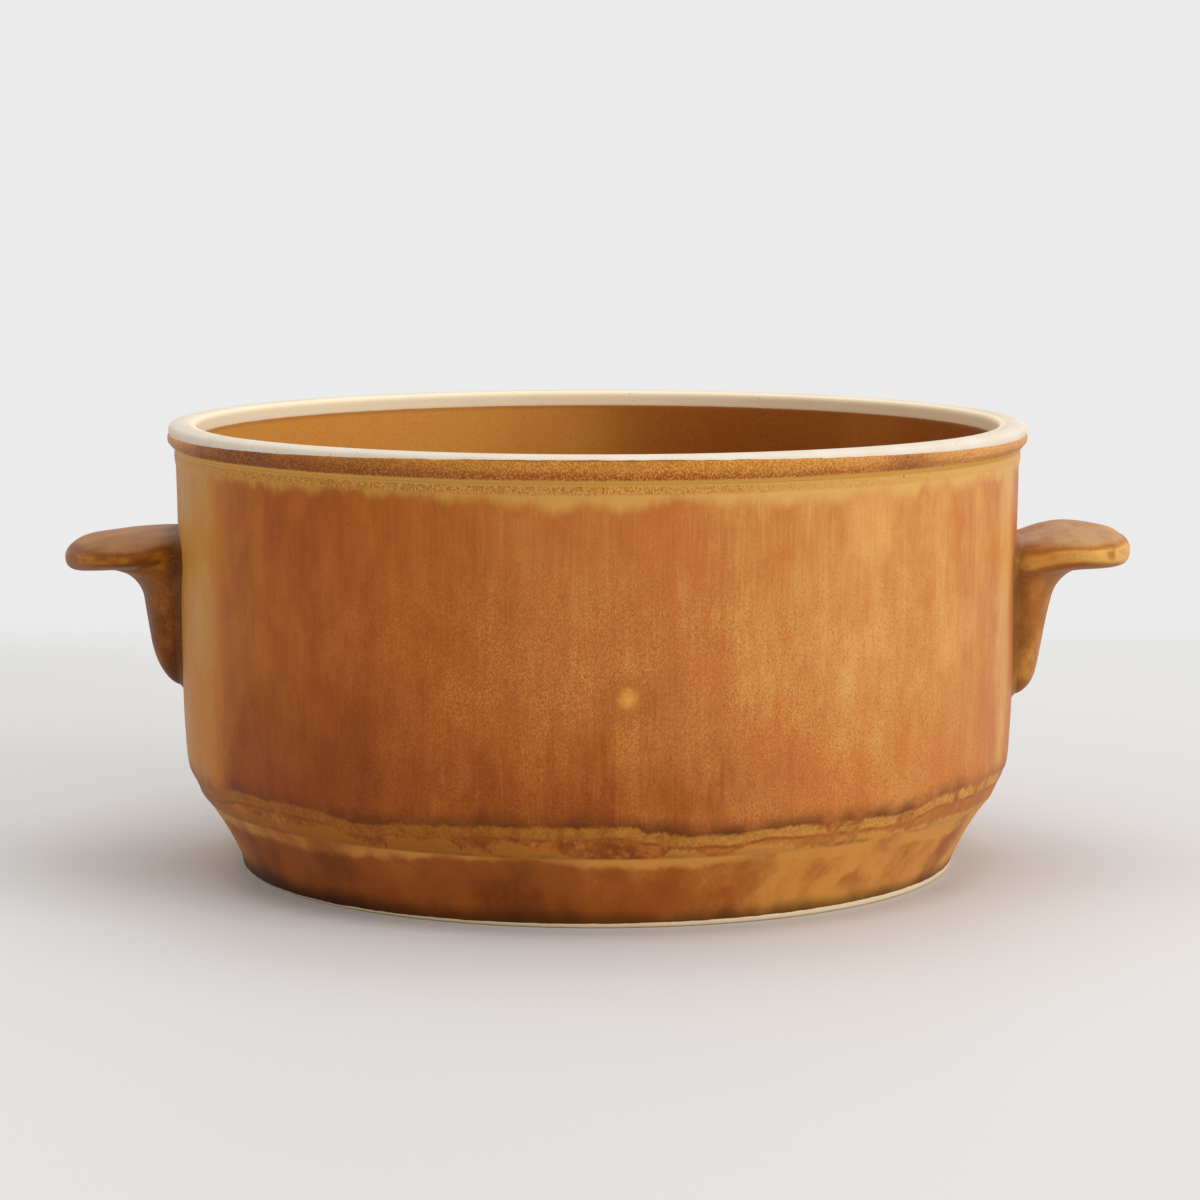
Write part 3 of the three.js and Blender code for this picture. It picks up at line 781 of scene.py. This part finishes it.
def leg_rings(lug):
    rings = []
    thick = lug["thick"] + lug["root"]
    top = TAB_TOP - thick / 2 - lug["dip"] * 0.5
    length = top - lug["leg_end"]
    soffit = TAB_TOP - lug["thick"] - 0.4 * lug["root"] + lug["crown"] - 0.25 * lug["droop"]
    for step in range(LEG_STEPS + 1):
        up = (step / LEG_STEPS) ** 1.6
        z = lug["leg_end"] + length * up
        to_end = max(0, 1 - (z - lug["leg_end"]) / lug["leg_round"])
        closing = max(0.02, math.sqrt(max(0, 1 - to_end ** 2)))
        flare = max(0, UNDER_TAB_FILLET - max(0, soffit - z))
        flare = UNDER_TAB_FILLET - math.sqrt(max(0, UNDER_TAB_FILLET ** 2 - flare ** 2))
        reach = closing * (lug["leg_tip"] + (lug["leg"] - lug["leg_tip"]) * up) + flare
        half_width = closing * (LEG_END_WIDTH + (LEG_TOP_WIDTH - LEG_END_WIDTH) * up) / 2 + flare * 0.35
        ring = []
        for k in range(LEG_POINTS):
            y, out = power_round(2 * math.pi * k / LEG_POINTS, 3)
            y = y * half_width
            out = out * reach if out > 0 else out * ROOT_DEPTH
            ring.append((math.sqrt(wall_radius(z) ** 2 - y * y) + out, y, z))
        rings.append(ring)
    return rings


def vertex_values(mesh, name):
    """One vector of every vertex, as rows."""
    values = np.empty(len(mesh.vertices) * 3)
    mesh.vertices.foreach_get(name, values)
    return values.reshape(-1, 3)


def formed_lug(name, lug):
    """Joins tab and leg into one lump of clay and smooths it as wet fingers do."""
    work = bmesh.new()
    skinned(work, tab_rings(lug))
    skinned(work, leg_rings(lug))
    bmesh.ops.recalc_face_normals(work, faces=work.faces)
    bmesh.ops.scale(work, vec=Vector((MM, MM, MM)), verts=work.verts)
    rough = bpy.data.meshes.new(name)
    work.to_mesh(rough)
    work.free()
    piece = placed(name, rough)
    lump = piece.modifiers.new("lump", "REMESH")
    lump.mode = "VOXEL"
    lump.voxel_size = LUG_VOXEL * MM
    lump.use_smooth_shade = True
    soften = piece.modifiers.new("soften", "SMOOTH")
    soften.factor = 0.5
    soften.iterations = 16
    mesh = settle(piece)
    points, normals = vertex_values(mesh, "co"), vertex_values(mesh, "normal")
    lumps = [noise.noise(Vector(p) / MM * 0.16 + Vector((lug["seed"], 0, 0))) for p in points]
    points += normals * np.array(lumps)[:, None] * LUG_LUMPS * MM
    points[:, :2] *= lug["side"]
    mesh.vertices.foreach_set("co", points.ravel())
    mesh.update()
    return piece


def mark_edges(mesh):
    """Stores how sharply each point stands out, so that the glaze can break there."""
    points, normals = vertex_values(mesh, "co") / MM, vertex_values(mesh, "normal")
    ends = np.empty(len(mesh.edges) * 2, dtype=int)
    mesh.edges.foreach_get("vertices", ends)
    a, b = ends.reshape(-1, 2).T
    count = np.bincount(a, minlength=len(points)) + np.bincount(b, minlength=len(points))

    def neighbours(values):
        total = np.zeros_like(values)
        np.add.at(total, a, values[b])
        np.add.at(total, b, values[a])
        return total / (count[:, None] if values.ndim > 1 else count)

    proud = ((points - neighbours(points)) * normals).sum(axis=1) / LUG_VOXEL
    for _ in range(6):
        proud = (proud + neighbours(proud)) / 2
    breaking = mesh.attributes.new("breaking", "FLOAT", "POINT")
    breaking.data.foreach_set("value", np.clip(proud * 4, -1, 1).astype(np.float32))


def lug_glaze():
    finish, shader, place = start_finish("lug_amber_glaze", 0.45, 0.1)
    tree = finish.node_tree
    x, y, z = parts_of(place)
    runs = effect(tree, GLAZE_RUNS, place, 6.0)
    skin = effect(tree, GLAZE_SKIN, place, 0.3, 6.0)
    patch = grain(place, 0.16, 71.0, 3.0, 0.6) - 0.5
    edge = place_node(tree, "ShaderNodeAttribute", output=2, attribute_name="breaking")
    upward = parts_of(place_node(tree, "ShaderNodeTexCoord", output=1))[2]
    out = (x * x + y * y).math("SQRT") - LUG_WALL_RADIUS
    lit = ramp(x, -60.0, 60.0)
    share = patch * 1.6 + (runs["Finger"] - 0.5) * 0.5 + lit * 0.5 + 0.12
    colour = tint(ramp(share, 0.0, 0.5), tone(116, 62, 12), tone(168, 102, 38))
    colour = tint(ramp(share, 0.45, 1.0), colour, tone(206, 150, 72))

    # Nose of the tab: olive ochre, with red brown where the glaze breaks over its two edges, and red
    # brown on the underside as painted shade
    nose = ramp(upward.math("ABSOLUTE"), 0.85, 0.4) * ramp(z + patch * 3.0, 45.5, 48.0)
    nose = nose * ramp(out, 1.5, 4.0)
    olive = tint(lit, tone(172, 112, 34), tone(216, 166, 86))
    spots = grain(stretched(place, 1, 1, 1.6), 0.24, 74.0, 1.0)
    colour = tint(nose * ramp(spots, 0.64, 0.46, 0.2, 1.0), colour, olive)
    lip = ramp(upward + patch * 0.3, 0.4, 0.62) * ramp(upward, 0.97, 0.78) * ramp(out, 1.5, 4.0)
    # Painted shade: the tab's underside, which faces down, is tinted darker red brown.
    under = ramp(upward, -0.25, -0.6) * ramp(patch + lit * 0.1, -0.06, 0.16) * ramp(z, 44.0, 47.0)
    breaks_and_underside_shade = ramp(edge + patch * 0.4, 0.25, 0.6) * 0.4 + nose * ramp(spots, 0.52, 0.68) * 0.3
    breaks_and_underside_shade = breaks_and_underside_shade + lip * 0.35 + under * 0.6
    colour = tint(breaks_and_underside_shade, colour, tone(136, 68, 26))
    # Painted sheen, partly a thicker matte glaze: faces turned upward get a lighter tan, lighter still
    # toward the lit right, with darker wiped streaks.
    top = tint(lit, tone(168, 114, 48), tone(190, 146, 96))
    wiped = grain(stretched(place, 1, 0.3, 1), 0.3, 75.0, 3.0)
    top = tint(ramp(wiped, 0.4, 0.65) * 0.5, top, tone(150, 92, 48))
    colour = tint(ramp(upward + patch * 0.4, 0.8, 0.99) * 0.85, colour, top)
    # Painted shade, partly pooled glaze: dark in the corner where the lug meets the wall, stronger on
    # the side turned from the lamp.
    corner = ramp(out + patch * 3.0, 3.6, 0.6) * ramp(z, 54.0, 49.0, 0.5, 1.0)
    corner = corner * ramp(z, 27.0, 38.0, 0.7, 1.0)
    colour = tint(corner * ramp(lit, 0.0, 1.0, 0.8, 0.6), colour, tone(84, 44, 14))
    colour = tint(skin["Dark"] * 0.2, colour, tone(112, 60, 22))
    colour = tint(skin["Gold"] * 0.08, colour, tone(214, 156, 76))
    lay_on(shader, colour, skin["Roughness"], skin["Height"], 0.05)
    return finish


LUG_GLAZE = lug_glaze()
lug_pieces = {}
for side, lug in LUGS.items():
    piece = formed_lug(side + "_lug", lug)
    mark_edges(piece.data)
    piece.data.materials.append(LUG_GLAZE)
    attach(piece, "root")
    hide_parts(side + "_handle")
    lug_pieces[side] = piece


# Luting slip: runny clay that joins each lug to the wall, wiped with a finger to a hollow fillet.
# It follows the root of its lug all the way round and carries the same glaze.

SLIP_FILLET = 1.9
SLIP_EDGE_SUNK = 0.12
SLIP_IN_LUG = 0.8
SLIP_IN_WALL = 0.9
SLIP_STEPS = 180
SLIP_CENTRE = 43.0


def root_line(mesh, side, lift):
    """Where the lug passes through the wall's face, or that face lifted, by angle round the root."""
    angles, sizes = [], []
    points = [vertex.co / MM for vertex in mesh.vertices]
    depth = [math.hypot(p.x, p.y) - wall_radius(p.z) - lift for p in points]
    for edge in mesh.edges:
        i, j = edge.vertices
        if (depth[i] < 0) != (depth[j] < 0):
            share = depth[i] / (depth[i] - depth[j])
            p = points[i].lerp(points[j], share)
            across = math.atan2(p.y * side, p.x * side) * wall_radius(p.z)
            angles.append(math.atan2(p.z - SLIP_CENTRE, across))
            sizes.append(math.hypot(p.z - SLIP_CENTRE, across))
    order = np.argsort(angles)
    steps = np.linspace(-math.pi, math.pi, SLIP_STEPS, endpoint=False)
    line = np.interp(steps, np.array(angles)[order], np.array(sizes)[order], period=2 * math.pi)
    for _ in range(3):
        line = (np.roll(line, 1) + 2 * line + np.roll(line, -1)) / 4
    return np.stack([np.cos(steps) * line, SLIP_CENTRE + np.sin(steps) * line], axis=1)


def on_wall(across, height, lift, side):
    """A point on the wall's face from its place across and up, lifted off the wall."""
    angle = across / wall_radius(height)
    radius = wall_radius(height) + lift
    return (side * radius * math.cos(angle), side * radius * math.sin(angle), height)


def aside(point, way, step, lift):
    """A point moved some way along the wall, at a given lift off it."""
    return (point[0] + way[0] * step, point[1] + way[1] * step, lift)


def wiped_slip(name, lug_piece, side):
    low, high = root_line(lug_piece.data, side, 0.1), root_line(lug_piece.data, side, SLIP_FILLET)
    ahead = np.roll(low, -1, axis=0) - np.roll(low, 1, axis=0)
    away = np.stack([ahead[:, 1], -ahead[:, 0]], axis=1)
    away /= np.linalg.norm(away, axis=1)[:, None]
    rings = []
    for k, way in enumerate(away):
        wipe = SLIP_FILLET * (1 + 0.25 * noise.noise(Vector((k * 0.09, 3.0 * side, 0))))
        foot = aside(low[k], way, wipe, -SLIP_EDGE_SUNK)
        root = aside(low[k], way, 0, 0)
        crown = aside(high[k], way, -SLIP_EDGE_SUNK, SLIP_FILLET)
        section = [foot]
        bend(section, root, crown, 9)
        section.append(aside(crown, way, -SLIP_IN_LUG, SLIP_FILLET * 0.6))
        section.append(aside(root, way, -SLIP_IN_LUG, -SLIP_IN_WALL))
        section.append(aside(foot, way, -0.5, -SLIP_IN_WALL))
        rings.append([[v * MM for v in on_wall(*point, side)] for point in section])
    work = bmesh.new()
    skinned(work, rings, endless=True)
    bmesh.ops.recalc_face_normals(work, faces=work.faces)
    mesh = bpy.data.meshes.new(name)
    work.to_mesh(mesh)
    work.free()
    return placed(name, mesh)


for side, lug in LUGS.items():
    slip = wiped_slip(side + "_slip", lug_pieces[side], lug["side"])
    slip.data.materials.append(LUG_GLAZE)
    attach(slip, "root")
    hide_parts(side + "_luting_slip")


# Studio: a plain pale floor that fades into a pale background, a broad soft lamp at the right, another
# overhead, and an even fill from all round. The camera stands low in front of the bowl.
# Lengths here are in metres, but the floor fades by millimetres from the middle, as finishes measure.

FLOOR_SIZE = 3.0
FLOOR_FADE = (215.0, 300.0)
LAMP_AIM = Vector((0, 0, 0.03))
CAMERA_PLACE = (0.00042, -0.620, 0.11904)
CAMERA_DOWN = 7.117
CAMERA_LENS = 117.15
BACKGROUND = tone(235, 235, 235)


def floor_finish():
    finish, shader, place = start_finish("pale_floor", 0.6, 0.2)
    tree = finish.node_tree
    cloud = grain(place, 0.004, 81.0, 2.0)
    colour = tint(ramp(cloud, 0.3, 0.7), tone(217, 218, 219), tone(214, 215, 216))
    tree.links.new(colour.socket, shader.inputs["Base Color"])
    x, y, _ = parts_of(place)
    far = x.math("ABSOLUTE").math("MAXIMUM", y.math("ABSOLUTE"))
    clear = place_node(tree, "ShaderNodeBsdfTransparent")
    solid = Field(tree, shader.outputs[0])
    fade = place_node(tree, "ShaderNodeMixShader", (ramp(far, *FLOOR_FADE), solid, clear))
    tree.links.new(fade.socket, tree.nodes["Material Output"].inputs["Surface"])
    return finish


floor_mesh = bpy.data.meshes.new("floor")
half = FLOOR_SIZE / 2
corners = [(-half, -half, 0), (half, -half, 0), (half, half, 0), (-half, half, 0)]
floor_mesh.from_pydata(corners, [], [(0, 1, 2, 3)])
floor_mesh.materials.append(floor_finish())
floor = placed("floor", floor_mesh)

world = bpy.data.worlds.new("soft_room")
world.use_nodes = True
bpy.context.scene.world = world
sky = world.node_tree.nodes["Background"]
sky.inputs["Color"].default_value = (1.0, 0.96, 0.91, 1)
sky.inputs["Strength"].default_value = 0.73
backdrop = place_node(world.node_tree, "ShaderNodeBackground", (BACKGROUND, 1.0))
path_node = world.node_tree.nodes.new("ShaderNodeLightPath")
seen_by = [Field(world.node_tree, path_node.outputs[name])
           for name in ("Is Camera Ray", "Is Glossy Ray", "Is Transmission Ray")]
shown = seen_by[0].math("MAXIMUM", seen_by[1]).math("MAXIMUM", seen_by[2])
fill = Field(world.node_tree, sky.outputs[0])
both = place_node(world.node_tree, "ShaderNodeMixShader", (shown, fill, backdrop))
world.node_tree.links.new(both.socket, world.node_tree.nodes["World Output"].inputs["Surface"])


def soft_lamp(name, place, size, energy, colour):
    """A broad round lamp that faces the bowl."""
    lamp = bpy.data.lights.new(name, "AREA")
    lamp.shape = "DISK"
    lamp.size = size
    lamp.energy = energy
    lamp.color = colour
    holder = placed(name, lamp)
    holder.location = place
    holder.rotation_euler = (LAMP_AIM - Vector(place)).to_track_quat("-Z", "Y").to_euler()


soft_lamp("side_lamp", (1.22, -0.72, 0.6), 1.1, 10.5, (1.0, 1.0, 1.0))
soft_lamp("top_lamp", (0.1, 0.15, 1.4), 1.4, 7.0, (0.97, 0.99, 1.0))

camera = bpy.data.cameras.new("camera")
camera.lens = CAMERA_LENS
camera.sensor_width = 36.0
camera_object = placed("camera", camera)
camera_object.location = CAMERA_PLACE
camera_object.rotation_euler = (math.radians(90 - CAMERA_DOWN), 0, 0)
bpy.context.scene.camera = camera_object
bpy.context.scene.view_settings.view_transform = "Standard"
